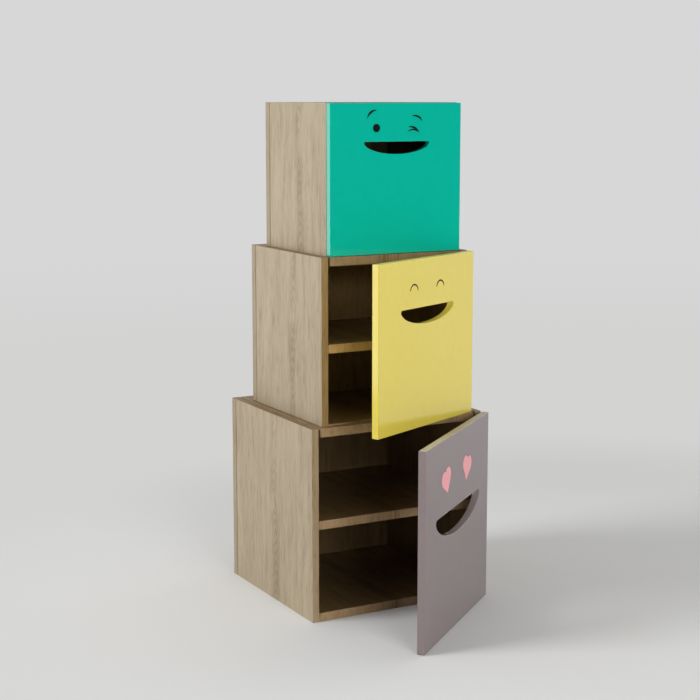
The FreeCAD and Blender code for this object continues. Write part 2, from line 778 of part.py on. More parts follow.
failed = [item.Name for item in doc.Objects if {"Invalid", "Error"} & set(item.State)]
failed += [node.Label for node in NODES if node.Shape.isNull() or not node.Shape.isValid()]
if failed:
    raise RuntimeError("failed: " + ", ".join(failed))

os.makedirs("parts", exist_ok=True)
for node in NODES:
    node.Shape.exportStep(f"parts/{node.Label}.step")
    print(node.Label, len(node.Shape.Solids), round(node.Shape.Volume))
print(len(NODES), "sub-parts")
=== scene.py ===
# %% [markdown]
# # A tower of three cabinets with lacquered doors
# Three box cabinets of oak-look board stand on each other. Each has one door, lacquered in its own
# colour, with a smiling face: the mouth is cut through the door as a finger pull, and the eyes are
# thin film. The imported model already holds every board, hinge, screw and pin at its real place. This
# lesson builds a studio round it, makes the small turned hardware again in finer detail, and gives
# every piece its finish.

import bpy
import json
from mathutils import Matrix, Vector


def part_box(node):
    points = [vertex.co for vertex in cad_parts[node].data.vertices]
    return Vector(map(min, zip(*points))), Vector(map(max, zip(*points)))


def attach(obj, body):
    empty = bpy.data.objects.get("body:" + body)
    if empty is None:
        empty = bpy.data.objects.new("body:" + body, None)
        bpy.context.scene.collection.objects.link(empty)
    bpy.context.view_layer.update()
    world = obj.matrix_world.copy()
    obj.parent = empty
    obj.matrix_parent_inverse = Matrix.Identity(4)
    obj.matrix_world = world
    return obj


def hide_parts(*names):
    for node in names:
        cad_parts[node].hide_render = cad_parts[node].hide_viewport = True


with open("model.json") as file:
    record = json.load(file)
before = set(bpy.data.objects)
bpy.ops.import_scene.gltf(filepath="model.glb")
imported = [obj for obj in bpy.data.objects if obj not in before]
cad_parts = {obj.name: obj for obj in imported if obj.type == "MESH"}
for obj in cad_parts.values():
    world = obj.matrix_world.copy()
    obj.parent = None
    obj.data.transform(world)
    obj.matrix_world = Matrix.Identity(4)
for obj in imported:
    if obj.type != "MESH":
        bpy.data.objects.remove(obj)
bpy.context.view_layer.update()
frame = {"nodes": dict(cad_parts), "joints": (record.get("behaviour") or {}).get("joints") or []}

# %% Modules and the names of the cabinets
import json
import math

import bmesh
import bpy
from mathutils import Matrix, Vector

CABINETS = ("bottom", "middle", "top")
NODES = frame["nodes"]
print("cabinets:", ", ".join(CABINETS))


# %% [markdown]
# ## Colours as they look
# A colour is easiest to name as it looks on a screen, from 0 to 255. Blender's sockets want light
# values, so one helper turns the first into the second.

# %% Screen colours
def screen(red, green, blue):
    """Socket colour for a colour as it looks on a screen."""
    def light(level):
        share = level / 255
        return share / 12.92 if share <= 0.04045 else ((share + 0.055) / 1.055) ** 2.4

    return (light(red), light(green), light(blue), 1.0)


def shade(colour, share):
    """The same colour with a share of its light."""
    return tuple(share * level for level in colour[:3]) + (1.0,)


print("screen level 128 as light:", round(screen(128, 128, 128)[0], 3))


# %% [markdown]
# ## Building node trees
# Materials, shader groups and geometry nodes are all trees of nodes. Writing them out call by call
# hides the idea behind the wiring, so a small class makes a node, sets its inputs and links them.

# %% Helper for node trees
# The colour sockets of a Mix node share their names with its other sockets, so they go by number
MIX_FIRST, MIX_SECOND, MIX_RESULT = 6, 7, 2


class Graph:
    """Makes nodes in a tree. An input given as a socket is linked, any other value is set."""

    def __init__(self, tree):
        self.tree = tree

    def node(self, kind, inputs=None, **settings):
        made = self.tree.nodes.new(kind)
        for key, setting in settings.items():
            setattr(made, key, setting)
        for key, given in (inputs or {}).items():
            self.feed(made.inputs[key], given)
        return made

    def feed(self, socket, given):
        if isinstance(given, bpy.types.NodeSocket):
            self.tree.links.new(given, socket)
        else:
            socket.default_value = given

    def maths(self, operation, first, second=0.0, third=0.0):
        inputs = {0: first, 1: second, 2: third}
        return self.node("ShaderNodeMath", inputs, operation=operation).outputs[0]

    def times(self, first, second):
        return self.maths("MULTIPLY", first, second)

    def vector_maths(self, operation, first, second=(0, 0, 0), result="Vector"):
        """A distance or a dot product comes out as the result called Value."""
        inputs = {0: first, 1: second}
        return self.node("ShaderNodeVectorMath", inputs, operation=operation).outputs[result]

    def scaled(self, vector, factor):
        inputs = {0: vector, "Scale": factor}
        return self.node("ShaderNodeVectorMath", inputs, operation="SCALE").outputs[0]

    def split(self, vector):
        return self.node("ShaderNodeSeparateXYZ", {0: vector}).outputs

    def remap(self, given, low, high, to_low=0.0, to_high=1.0, way="LINEAR"):
        inputs = {"Value": given, "From Min": low, "From Max": high}
        inputs.update({"To Min": to_low, "To Max": to_high})
        return self.node("ShaderNodeMapRange", inputs, interpolation_type=way).outputs[0]

    def mix(self, share, first, second, blend="MIX"):
        inputs = {"Factor": share, MIX_FIRST: first, MIX_SECOND: second}
        made = self.node("ShaderNodeMix", inputs, data_type="RGBA", blend_type=blend)
        return made.outputs[MIX_RESULT]

    def noise(self, place, scale, detail=2.0, roughness=0.5):
        inputs = {"Vector": place, "Scale": scale, "Detail": detail, "Roughness": roughness}
        return self.node("ShaderNodeTexNoise", inputs).outputs[0]


def add_inputs(tree, inputs):
    """Named inputs of a tree: {name: (type, default)}."""
    for key, (kind, default) in inputs.items():
        socket = tree.interface.new_socket(key, in_out="INPUT", socket_type=kind)
        if default is not None:
            socket.default_value = default


def new_group(name, inputs, outputs):
    """Shader group with named inputs, and outputs as {name: type}."""
    group = bpy.data.node_groups.new(name, "ShaderNodeTree")
    add_inputs(group, inputs)
    for key, kind in outputs.items():
        group.interface.new_socket(key, in_out="OUTPUT", socket_type=kind)
    return group


def finish_with_principled(graph, inputs):
    shader = graph.node("ShaderNodeBsdfPrincipled", inputs)
    graph.node("ShaderNodeOutputMaterial", {"Surface": shader.outputs[0]})


def new_material(name):
    material = bpy.data.materials.new(name)
    material.use_nodes = True
    material.node_tree.nodes.clear()
    return material, Graph(material.node_tree)


print("node helpers ready")


# %% [markdown]
# ## Camera
# The camera stands at the left of the front and looks slightly down. Its place, turn and lens come
# from the straight edges of the boards: with their sizes known, the vanishing lines and the corners
# leave one camera, which fits most of the edges to within two pixels.

# %% Camera
CAMERA_PLACE = (-1.5707, -2.8616, 1.0489)
CAMERA_YAW = 28.62
CAMERA_PITCH = -9.24
CAMERA_LENS = 79.41
SENSOR_WIDTH = 36.0
CAMERA_REACH = 200.0


def make_camera():
    data = bpy.data.cameras.new("camera")
    data.sensor_width = SENSOR_WIDTH
    data.lens = CAMERA_LENS
    data.clip_end = CAMERA_REACH
    camera = bpy.data.objects.new("camera", data)
    camera.location = CAMERA_PLACE
    camera.rotation_euler = (math.radians(90 + CAMERA_PITCH), 0, math.radians(-CAMERA_YAW))
    bpy.context.scene.collection.objects.link(camera)
    bpy.context.scene.camera = camera


make_camera()
print("camera at", CAMERA_PLACE, "with a lens of", CAMERA_LENS, "mm")


# %% [markdown]
# ## What the gloss sees
# A glossy door mirrors the room. In a studio the room behind the camera is dark, and that is why the
# closed door shows its colour pure, with no grey veil. The floor and the background share one mask
# for this: it is nearly 0 towards the dark part of the room and 1 everywhere else.

# %% Shader group for the dark part of the room
DARK_WAY = (0.479, -0.878, 0.0)
DARK_LEVEL = 0.06
# Cosines of the angle to that way at which the dark begins and is full
DARK_EDGES = (0.45, 0.85)


def make_room_group():
    inputs = {"Vector": ("NodeSocketVector", None)}
    group = new_group("room_in_gloss", inputs, {"Light": "NodeSocketFloat"})
    graph = Graph(group)
    way = graph.vector_maths("NORMALIZE", graph.node("NodeGroupInput").outputs["Vector"])
    towards = graph.vector_maths("DOT_PRODUCT", way, DARK_WAY, "Value")
    light = graph.remap(towards, *DARK_EDGES, 1.0, DARK_LEVEL, way="SMOOTHSTEP")
    graph.node("NodeGroupOutput", {"Light": light})
    return group


ROOM = make_room_group()
print("room mask with", len(ROOM.nodes), "nodes")

# %% [markdown]
# ## Floor and background
# The tower stands on a pale floor that runs into a pale background with no horizon. A floor lit by
# lamps near the object darkens far away, so from about a metre out it is painted in one plain tone,
# which turns into the background's over the next metres. The change goes by the distance from a point
# beside the tower, so it holds in every view. The lamps do the lighting: the background adds only the
# soft glow that a pale wall behind the object gives.

# %% Tones and distances of the studio
FLOOR_COLOUR = screen(225, 225, 224)
FLOOR_MIDDLE = screen(211, 211, 210)
BACKGROUND_COLOUR = screen(215, 215, 216)
FLOOR_RADIUS = 30.0
FADE_CENTRE = (0.45, -0.35, 0.0)
FADE_START = 0.95
FADE_END = 1.7
MIDDLE_DISTANCE = 3.0
BACKGROUND_DISTANCE = 8.0
GLOW_STRENGTH = 0.52
REST_STRENGTH = 0.06
# Where the glow behind the tower comes in, and where it fades upwards
GLOW_BEHIND = (-0.1, 0.6)
GLOW_HEIGHTS = (0.35, 0.85)
print("the floor fades from", FADE_START, "to", BACKGROUND_DISTANCE, "m")


# %% Floor and world
def seen_light(rays, graph, way):
    """(1 for rays that see the background, its level, which is dimmed in gloss)."""
    gloss = graph.maths("MAXIMUM", rays["Is Glossy Ray"], rays["Is Transmission Ray"])
    room = graph.node("ShaderNodeGroup", {"Vector": way}, node_tree=ROOM)
    seen = graph.maths("MAXIMUM", rays["Is Camera Ray"], gloss)
    dimmed = graph.times(gloss, graph.maths("SUBTRACT", 1.0, room.outputs["Light"]))
    return seen, graph.maths("SUBTRACT", 1.0, dimmed)


def make_floor():
    material, graph = new_material("studio_floor")
    rays = graph.node("ShaderNodeLightPath").outputs
    place = graph.node("ShaderNodeTexCoord").outputs["Object"]
    seen, level = seen_light(rays, graph, place)
    distance = graph.vector_maths("DISTANCE", place, FADE_CENTRE, "Value")
    share = graph.times(graph.remap(distance, FADE_START, FADE_END, way="SMOOTHSTEP"), seen)
    beyond = graph.remap(distance, MIDDLE_DISTANCE, BACKGROUND_DISTANCE, way="SMOOTHSTEP")
    inputs = {"Base Color": FLOOR_COLOUR, "Roughness": 0.8, "Specular IOR Level": 0.1}
    near_shader = graph.node("ShaderNodeBsdfPrincipled", inputs)
    far_colour = graph.mix(beyond, FLOOR_MIDDLE, BACKGROUND_COLOUR)
    far_shader = graph.node("ShaderNodeEmission", {"Color": far_colour, "Strength": level})
    inputs = {0: share, 1: near_shader.outputs[0], 2: far_shader.outputs[0]}
    blend = graph.node("ShaderNodeMixShader", inputs)
    graph.node("ShaderNodeOutputMaterial", {"Surface": blend.outputs[0]})
    bpy.ops.mesh.primitive_circle_add(vertices=128, radius=FLOOR_RADIUS, fill_type="NGON")
    floor = bpy.context.object
    floor.name = "studio_floor"
    floor.data.materials.append(material)


def make_world():
    world = bpy.data.worlds.new("studio")
    world.use_nodes = True
    world.node_tree.nodes.clear()
    graph = Graph(world.node_tree)
    rays = graph.node("ShaderNodeLightPath").outputs
    way = graph.node("ShaderNodeTexCoord").outputs["Generated"]
    seen, level = seen_light(rays, graph, way)
    parts = graph.split(way)
    behind = graph.remap(parts["Y"], *GLOW_BEHIND, way="SMOOTHSTEP")
    low = graph.remap(parts["Z"], *GLOW_HEIGHTS, 1.0, 0.0, way="SMOOTHSTEP")
    glow = graph.maths("MULTIPLY_ADD", graph.times(behind, low), GLOW_STRENGTH, REST_STRENGTH)
    light = graph.node("ShaderNodeBackground", {"Color": (1, 1, 1, 1), "Strength": glow})
    shown = graph.node("ShaderNodeBackground", {"Color": BACKGROUND_COLOUR, "Strength": level})
    blend = graph.node("ShaderNodeMixShader", {0: seen, 1: light.outputs[0], 2: shown.outputs[0]})
    graph.node("ShaderNodeOutputWorld", {"Surface": blend.outputs[0]})
    bpy.context.scene.world = world


make_floor()
make_world()
bpy.context.scene.view_settings.view_transform = "Standard"
print("floor and background made")


# %% [markdown]
# ## Lamps
# The soft shadow runs to the right: the main soft box stands at the left, a little behind the tower,
# and looks down at it. A broad front light fills the doors, and large boxes at the right and above
# lift the floor in the shadow. These three are kept out of the gloss, as a photographer does by
# turning them. White panels do the opposite: they show in the lacquer, at the right for the open doors
# and at the left for their edges, and give little or no light of their own. The nearest one stands
# close to the yellow door, so that its mirror image there has a crisp lower edge.

# %% Soft boxes
TOWER_MIDDLE = Vector((0.0, 0.0, 0.5))
# Place, size across and along, power in watts, lights the room, shows in gloss
LAMPS = {
    "key": ((-4.45, 0.6, 3.4), (2.0, 2.0), 165, True, True),
    "front": ((-0.35, -4.2, 1.2), (2.0, 1.7), 101, True, False),
    "side": ((3.6, -0.4, 1.65), (3.8, 3.0), 38, True, False),
    "top": ((0.15, 0.3, 4.0), (3.0, 3.0), 38, True, False),
    "right_panel": ((2.0, 0.35, 0.9), (1.2, 1.75), 6.5, False, True),
    "near_panel": ((1.25, -0.5, 0.62), (0.8, 1.24), 2.9, False, True),
    "left_panel": ((-2.3, 0.5, 0.65), (1.2, 1.2), 13, False, True),
    "rear_panel": ((-1.45, 1.95, 0.75), (0.9, 1.3), 4.8, True, True),
}


def make_lamp(name, place, size, power, lights, shows):
    data = bpy.data.lights.new(name, "AREA")
    data.shape = "RECTANGLE"
    data.size, data.size_y = size
    data.energy = power
    lamp = bpy.data.objects.new(name, data)
    lamp.location = place
    lamp.rotation_euler = (TOWER_MIDDLE - Vector(place)).to_track_quat("-Z", "Y").to_euler()
    lamp.visible_camera = False
    lamp.visible_diffuse = lights
    lamp.visible_glossy = shows
    bpy.context.scene.collection.objects.link(lamp)


for lamp_name, (place, size, power, lights, shows) in LAMPS.items():
    make_lamp(lamp_name, place, size, power, lights, shows)
    print("lamp", lamp_name, power, "W")


# %% [markdown]
# ## Grain
# The boards are chipboard with a printed oak surface. Such a print shows what a plank cut near the
# middle of a trunk shows: soft wavy streaks, and one narrow column where the yearly rings end in
# small arches, one over the other. Noises that are stretched along the grain give the streaks, the
# pores and the fibres. Saw-tooth steps along the board, pulled down at both sides of the column, give
# the arches. Slow noises bend the column and its streaks together, and let the arches come and go. The
# group puts out masks only, so each kind of face can colour them in its own way.

# %% Sizes of the grain
GRAIN_INPUTS = {
    "Vector": ("NodeSocketVector", None),
    "Seed": ("NodeSocketFloat", 0.0),
    "Column Place": ("NodeSocketFloat", 0.0),
    "Column Width": ("NodeSocketFloat", 0.014),
    "Arch Step": ("NodeSocketFloat", 0.021),
}
GRAIN_MASKS = ("Arches", "Column", "Streaks", "Patches", "Lines", "Pores", "Fibres")
# Range of a push, in metres, and the scale of the noise that gives it
BEND = (0.034, 13.0)
TEAR = (0.009, 90.0)
WAVE = (0.006, 45.0)
SWAY_STRETCH = 0.35
# An arch falls away by this many steps, with this power of the distance from its crown
ARCH_POWER = 1.4
ARCH_FALL = 1.6
# Shares of a step where an arch begins to show and where it is deepest
ARCH_RISE = 0.3
ARCH_PEAK = 0.86
# Where the column is full and where it has ended, in widths from its middle
COLUMN_EDGES = (0.4, 1.5)
# What stays of the arches where they go
COLUMN_LEAST = 0.12
# Stretch along the grain, scale, detail and roughness of a noise, and the range that becomes 0 to 1.
# The first one lets the arches come and go.
GRAIN_NOISES = {
    "Coming": (0.7, 16.0, 3.0, 0.6, 0.42, 0.58),
    "Streaks": (0.1, 55.0, 5.0, 0.62, 0.34, 0.66),
    "Patches": (0.25, 13.0, 2.0, 0.5, 0.3, 0.7),
    "Lines": (0.03, 170.0, 1.0, 0.5, 0.6, 0.74),
    "Pores": (0.09, 280.0, 2.0, 0.5, 0.5, 0.68),
    "Fibres": (0.02, 900.0, 3.0, 0.6, 0.3, 0.7),
}
print("grain noises:", ", ".join(GRAIN_NOISES))


# %% Shader group for the grain
def stretched(graph, place, share):
    """Place for a noise that is longer along the grain, the more so the smaller the share."""
    return graph.vector_maths("MULTIPLY", place, (1.0, 1.0, share))


def swayed(graph, place, seeded, amount, scale):
    """The place, pushed about by a slow noise."""
    slow = stretched(graph, seeded, SWAY_STRETCH)
    inputs = {"Vector": slow, "Scale": scale, "Detail": 3.0}
    push = graph.node("ShaderNodeTexNoise", inputs).outputs["Color"]
    centred = graph.vector_maths("SUBTRACT", push, (0.5, 0.5, 0.5))
    return graph.vector_maths("ADD", place, graph.scaled(centred, amount))


def arches(graph, place, given):
    """(arch lines, share of the column) round the column's place."""
    parts = graph.split(place)
    aside = graph.maths("ABSOLUTE", graph.maths("SUBTRACT", parts["X"], given["Column Place"]))
    across = graph.maths("DIVIDE", aside, given["Column Width"])
    drop = graph.times(graph.maths("POWER", across, ARCH_POWER), ARCH_FALL)
    along = graph.maths("ADD", graph.maths("DIVIDE", parts["Z"], given["Arch Step"]), drop)
    phase = graph.maths("FRACT", along)
    rising = graph.remap(phase, ARCH_RISE, ARCH_PEAK, way="SMOOTHSTEP")
    falling = graph.remap(phase, ARCH_PEAK, 1.0, 1.0, 0.0, way="SMOOTHSTEP")
    lines = graph.times(rising, falling)
    return lines, graph.remap(across, *COLUMN_EDGES, 1.0, 0.0, way="SMOOTHSTEP")


def grain_noise(graph, place, key):
    stretch, scale, detail, roughness, low, high = GRAIN_NOISES[key]
    noise = graph.noise(stretched(graph, place, stretch), scale, detail, roughness)
    return graph.remap(noise, low, high)


def make_grain_group():
    outputs = {key: "NodeSocketFloat" for key in GRAIN_MASKS}
    group = new_group("wood_grain", GRAIN_INPUTS, outputs)
    graph = Graph(group)
    given = graph.node("NodeGroupInput").outputs
    shift = graph.node("ShaderNodeCombineXYZ", {key: given["Seed"] for key in "XYZ"}).outputs[0]
    seeded = graph.vector_maths("ADD", given["Vector"], shift)
    bent = swayed(graph, given["Vector"], seeded, *BEND)
    torn = swayed(graph, bent, seeded, *TEAR)
    lines, column = arches(graph, torn, given)
    coming = graph.remap(grain_noise(graph, seeded, "Coming"), 0.0, 1.0, COLUMN_LEAST, 1.0)
    column = graph.times(column, coming)
    wavy = graph.vector_maths("ADD", swayed(graph, bent, seeded, *WAVE), shift)
    masks = {"Arches": graph.times(lines, column), "Column": column}
    for key in ("Streaks", "Patches", "Lines", "Pores"):
        masks[key] = grain_noise(graph, wavy, key)
    masks["Fibres"] = grain_noise(graph, seeded, "Fibres")
    graph.node("NodeGroupOutput", masks)
    return group


GRAIN = make_grain_group()
print("grain group with", len(GRAIN.nodes), "nodes")

# %% [markdown]
# ## Oak boards
# Outside, the print is a greyish beige. The narrow edges carry a browner band. The ends and the tops
# are darker still, partly by their own tone and partly as painted shade. The faces within the cabinets
# are painted dark and warm as painted shade, lifted by painted bounce light in the middle cabinet. The
# edges of the middle cabinet are painted warmer with the yellow door's bounce light, those of the bottom
# one lighter and greyer, and a thin darker line of painted shade runs along the rear edge of a side,
# where the back board meets it. The front edge of a lying board shows short upright ticks. One material
# for each board knows which way the board looks: a Mapping node lays the grain along the board from its
# own middle, and the object-space normal tells the outer face from the edges, the ends and the inner
# face. Each board draws its streaks from another part of the noise.

# %% Tones and directions of the boards
OAK = {
    "face": (screen(187, 171, 145), screen(150, 133, 106)),
    "edge": (screen(166, 140, 106), screen(128, 102, 66)),
    "back edge": (screen(173, 157, 131), screen(145, 127, 101)),
    # Ends, the faces that look up and down on upright boards: partly their own darker tone, partly
    # painted shade
    "end": (screen(134, 113, 84), screen(106, 86, 58)),
    # Inner faces: the print painted darker and warmer, as painted shade
    "inside": (screen(134, 109, 73), screen(97, 77, 50)),
}
COLUMN_SHADE = screen(242, 242, 242)
OAK_ROUGHNESS = (0.42, 0.56)
# Painted shade of the seam along the rear edge of a side, where the back board meets it, which comes in
# over a share of its width
SEAM_SHADE_WIDTH = 0.004
SEAM_SHADE_COLOUR = screen(176, 160, 142)
SEAM_SHADE_FADE = 0.4
# Axis of the grain, axis that the wide face looks along, its outer side, and the tones of the outer
# face, the edges and the ends
BOARDS = {
    "left_side": ("Z", "X", -1, ("face", "edge", "end")),
    "right_side": ("Z", "X", 1, ("face", "edge", "end")),
    "back_board": ("Z", "Y", 1, ("face", "back edge", "end")),
    # The upper face of a top board takes the darker end tone as painted shade
    "top_board": ("Y", "Z", 1, ("end", "edge", "edge")),
    "base_board": ("Y", "Z", -1, ("face", "edge", "edge")),
    "floor_sheet": ("Y", "Z", -1, ("face", "edge", "edge")),
    "shelf": ("Y", "Z", 0, ("face", "edge", "edge")),
}
# Turn that lays the grain along the board, and a stretch through the thickness, which makes the ticks
BOARD_TURNS = {
    ("Z", "X"): ((0, 0, math.radians(90)), (1, 1, 1)),
    ("Z", "Y"): ((0, 0, 0), (1, 1, 1)),
    ("Y", "Z"): ((math.radians(-90), 0, 0), (1, 5, 1)),
}
COLUMN_PLACES = {"bottom": -0.008, "middle": -0.024, "top": -0.014}
# Painted light on the inner faces: the yellow door throws its light back into the middle cabinet, so
# its inner faces are painted lighter
INSIDE_PAINTED_LIGHT = {"bottom": 0.97, "middle": 1.35, "top": 1.0}
# Painted light on the edges: those of the middle cabinet and its shelf are painted warmer and lighter
# as the yellow door's bounce light, and those of the bottom cabinet are painted lighter and greyer
EDGE_LIGHT_TINTS = {
    "bottom_left_side": (1.1, 1.2, 1.35),
    "bottom_right_side": (1.1, 1.2, 1.35),
    "middle_left_side": (0.92, 0.9, 0.7),
    "middle_right_side": (0.92, 0.9, 0.7),
    "middle_shelf": (1.4, 1.32, 0.92),
}
# How much of the darker tone each mask brings
FIGURE_SHARES = {
    "Arches": 0.85, "Streaks": 0.38, "Patches": 0.24, "Lines": 0.42, "Pores": 0.34, "Fibres": 0.1,
}
# How nearly a face looks along an axis, where it begins to count and where it counts in full
FACING = (0.6, 0.9)
# Step from one board's place in the noise to the next board's
SEED_STEP = 1.7
print("kinds of board:", ", ".join(BOARDS))


# %% Faces, painted seam shade and painted edge light
def board_masks(graph, normal, grain, face, outer):
    """Masks of the outer face, the inner faces and the ends. A shelf has two inner faces."""
    parts = graph.split(normal)
    along, across = graph.maths("ABSOLUTE", parts[grain]), parts[face]
    if outer:
        outwards = graph.times(across, outer)
        inwards = graph.times(across, -outer)
    else:
        outwards, inwards = 0.0, graph.maths("ABSOLUTE", across)
    return tuple(graph.remap(given, *FACING) for given in (outwards, inwards, along))


def painted_seam_shade(graph, colour, across, rear_edge):
    """The colour with painted shade of the seam at the rear edge, given half the depth of the board."""
    start = rear_edge - SEAM_SHADE_WIDTH
    near = graph.remap(across, start, start + SEAM_SHADE_WIDTH * SEAM_SHADE_FADE)
    return graph.mix(near, colour, graph.mix(1.0, colour, SEAM_SHADE_COLOUR, "MULTIPLY"))


def tinted(colour, tint):
    return tuple(level * share for level, share in zip(colour, tint)) + (1.0,)


def face_colour(graph, figure, tone, tint):
    """Colour of one kind of face. Only edges take the tint, which carries painted light."""
    levels = OAK[tone]
    if "edge" in tone:
        levels = [tinted(level, tint) for level in levels]
    return graph.mix(figure, *levels)


# Edges that carry painted light
print("tinted edge bands:", len(EDGE_LIGHT_TINTS))


# %% Oak materials
def make_oak(cabinet, board, box, seed):
    grain, face, outer, tones = BOARDS[board]
    middle, half = (box[0] + box[1]) / 2, (box[1] - box[0]) / 2
    material, graph = new_material(f"{cabinet}_{board}")
    coordinates = graph.node("ShaderNodeTexCoord").outputs
    turn, stretch = BOARD_TURNS[grain, face]
    inputs = {"Vector": coordinates["Object"], "Location": middle, "Rotation": turn, "Scale": stretch}
    place = graph.node("ShaderNodeMapping", inputs, vector_type="TEXTURE").outputs[0]
    inputs = {"Vector": place, "Seed": seed, "Column Place": COLUMN_PLACES[cabinet]}
    masks = graph.node("ShaderNodeGroup", inputs, node_tree=GRAIN).outputs

    figure = 0.0
    for key, share in FIGURE_SHARES.items():
        figure = graph.maths("MULTIPLY_ADD", masks[key], share, figure)
    is_outside, is_inside, is_end = board_masks(graph, coordinates["Normal"], grain, face, outer)
    # Painted light on the edges of some cabinets
    tint = EDGE_LIGHT_TINTS.get(f"{cabinet}_{board}", (1, 1, 1))
    # For a top board the outer face takes the end tone, which is painted shade
    outside, edge, end = (face_colour(graph, figure, tone, tint) for tone in tones)
    # Inner faces take painted shade, and in the middle cabinet painted bounce light from the yellow door
    inside = graph.mix(figure, *(shade(tone, INSIDE_PAINTED_LIGHT[cabinet]) for tone in OAK["inside"]))
    # Painted shade along the seam between the side and the back board
    if board.endswith("side"):
        outside = painted_seam_shade(graph, outside, graph.split(place)["X"], half.y)
    colour = graph.mix(is_end, edge, end)
    colour = graph.mix(is_outside, colour, outside)
    colour = graph.mix(is_inside, colour, inside)
    darker = graph.mix(1.0, colour, COLUMN_SHADE, "MULTIPLY")
    colour = graph.mix(masks["Column"], colour, darker)
    inputs = {"Height": masks["Fibres"], "Strength": 0.12, "Distance": 0.0004}
    bump = graph.node("ShaderNodeBump", inputs)
    inputs = {
        "Base Color": colour,
        "Roughness": graph.remap(masks["Fibres"], 0.0, 1.0, *OAK_ROUGHNESS),
        "Normal": bump.outputs[0],
        "Specular IOR Level": 0.35,
    }
    finish_with_principled(graph, inputs)
    return material


def dress(node_name, material):
    """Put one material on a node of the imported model."""
    for slot in NODES[node_name].material_slots:
        slot.material = material


for cabinet_number, cabinet in enumerate(CABINETS):
    for board_number, board in enumerate(BOARDS):
        node_name = f"{cabinet}_{board}"
        if node_name in NODES:
            seed = SEED_STEP * (len(BOARDS) * cabinet_number + board_number)
            box = [Vector(corner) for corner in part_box(node_name)]
            dress(node_name, make_oak(cabinet, board, box, seed))
print("oak boards dressed:", ", ".join(BOARDS))

# %% [markdown]
# ## One group for the small unevenness of every finish
# No finish has one tone and one gloss all over. Lacquer, film, metal, beech and silicone share a
# group that turns a noise into a slightly changing colour, roughness and height. Each material gives
# it its own scale and spread.

# %% Shader group for uneven finishes
FINISH_INPUTS = {
    "Vector": ("NodeSocketVector", None),
    "Colour": ("NodeSocketColor", None),
    "Scale": ("NodeSocketFloat", 200.0),
    "Darker": ("NodeSocketFloat", 0.1),
    "Roughness": ("NodeSocketFloat", 0.4),
    "Roughness Spread": ("NodeSocketFloat", 0.05),
}
# The range of the noise that becomes 0 to 1
TONE_RANGE = (0.3, 0.7)


def make_finish_group():
    outputs = {"Colour": "NodeSocketColor", "Roughness": "NodeSocketFloat", "Height": "NodeSocketFloat"}
    group = new_group("uneven_finish", FINISH_INPUTS, outputs)
    graph = Graph(group)
    given = graph.node("NodeGroupInput").outputs
    tone = graph.remap(graph.noise(given["Vector"], given["Scale"], 3.0), *TONE_RANGE)
    share = graph.maths("SUBTRACT", 1.0, graph.times(tone, given["Darker"]))
    darkened = graph.node("ShaderNodeCombineColor", {0: share, 1: share, 2: share}).outputs[0]
    swing = graph.times(graph.maths("SUBTRACT", tone, 0.5), given["Roughness Spread"])
    outputs = {
        "Colour": graph.mix(1.0, given["Colour"], darkened, "MULTIPLY"),
        "Roughness": graph.maths("ADD", given["Roughness"], swing),
        "Height": tone,
    }
    graph.node("NodeGroupOutput", outputs)
    return group


FINISH = make_finish_group()
print("finish group with", len(FINISH.nodes), "nodes")


# %% Material with an uneven finish
# How far below the top the finish of an upper edge begins and is full, in metres
UPPER_EDGE_START = 0.003
UPPER_EDGE_FULL = 0.002


def upper_edge(graph, coordinates, height):
    """Share of the upper edge: faces that look up, within a few millimetres of the top."""
    facing = graph.split(coordinates["Normal"])["Z"]
    level = graph.split(coordinates["Object"])["Z"]
    near_top = graph.remap(level, height - UPPER_EDGE_START, height - UPPER_EDGE_FULL)
    return graph.times(graph.remap(facing, *FACING), near_top)


def make_finish(
    name, colour, roughness, scale,
    darker=0.1, spread=0.1, bump=0.0, metallic=0.0, specular=0.5, upper=None,
):
    """Uneven tone and gloss. The upper edge may have its own (colour, roughness, height)."""
    material, graph = new_material(name)
    coordinates = graph.node("ShaderNodeTexCoord").outputs
    if upper:
        edge_colour, edge_roughness, edge_height = upper
        share = upper_edge(graph, coordinates, edge_height)
        colour = graph.mix(share, colour, edge_colour)
        roughness = graph.remap(share, 0.0, 1.0, roughness, edge_roughness)
    facts = {
        "Vector": coordinates["Object"],
        "Colour": colour,
        "Scale": scale,
        "Darker": darker,
        "Roughness": roughness,
        "Roughness Spread": spread,
    }
    uneven = graph.node("ShaderNodeGroup", facts, node_tree=FINISH).outputs
    inputs = {
        "Base Color": uneven["Colour"],
        "Roughness": uneven["Roughness"],
        "Metallic": metallic,
        "Specular IOR Level": specular,
    }
    if bump:
        facts = {"Height": uneven["Height"], "Strength": bump, "Distance": 0.0003}
        inputs["Normal"] = graph.node("ShaderNodeBump", facts).outputs[0]
    finish_with_principled(graph, inputs)
    return material


print("upper edges begin", UPPER_EDGE_START, "m below the top")

# %% [markdown]
# ## Lacquered doors and their eyes
# The doors are sprayed board. The lacquer is smooth enough to mirror: the yellow door carries the
# grey door below it as a deeper band along its lower edge. Sprayed lacquer is never quite flat, and
# a very low, slow bump bends its reflections a little. The upper edges look duller than the faces,
# so they get a rougher finish of their own. On the two lower doors they are also painted paler, as
# painted light from above. The eyes are film and shine less.

# %% Lacquers and films
LACQUERS = {
    "bottom": screen(131, 117, 118),
    "middle": screen(220, 201, 80),
    "top": screen(4, 184, 159),
}
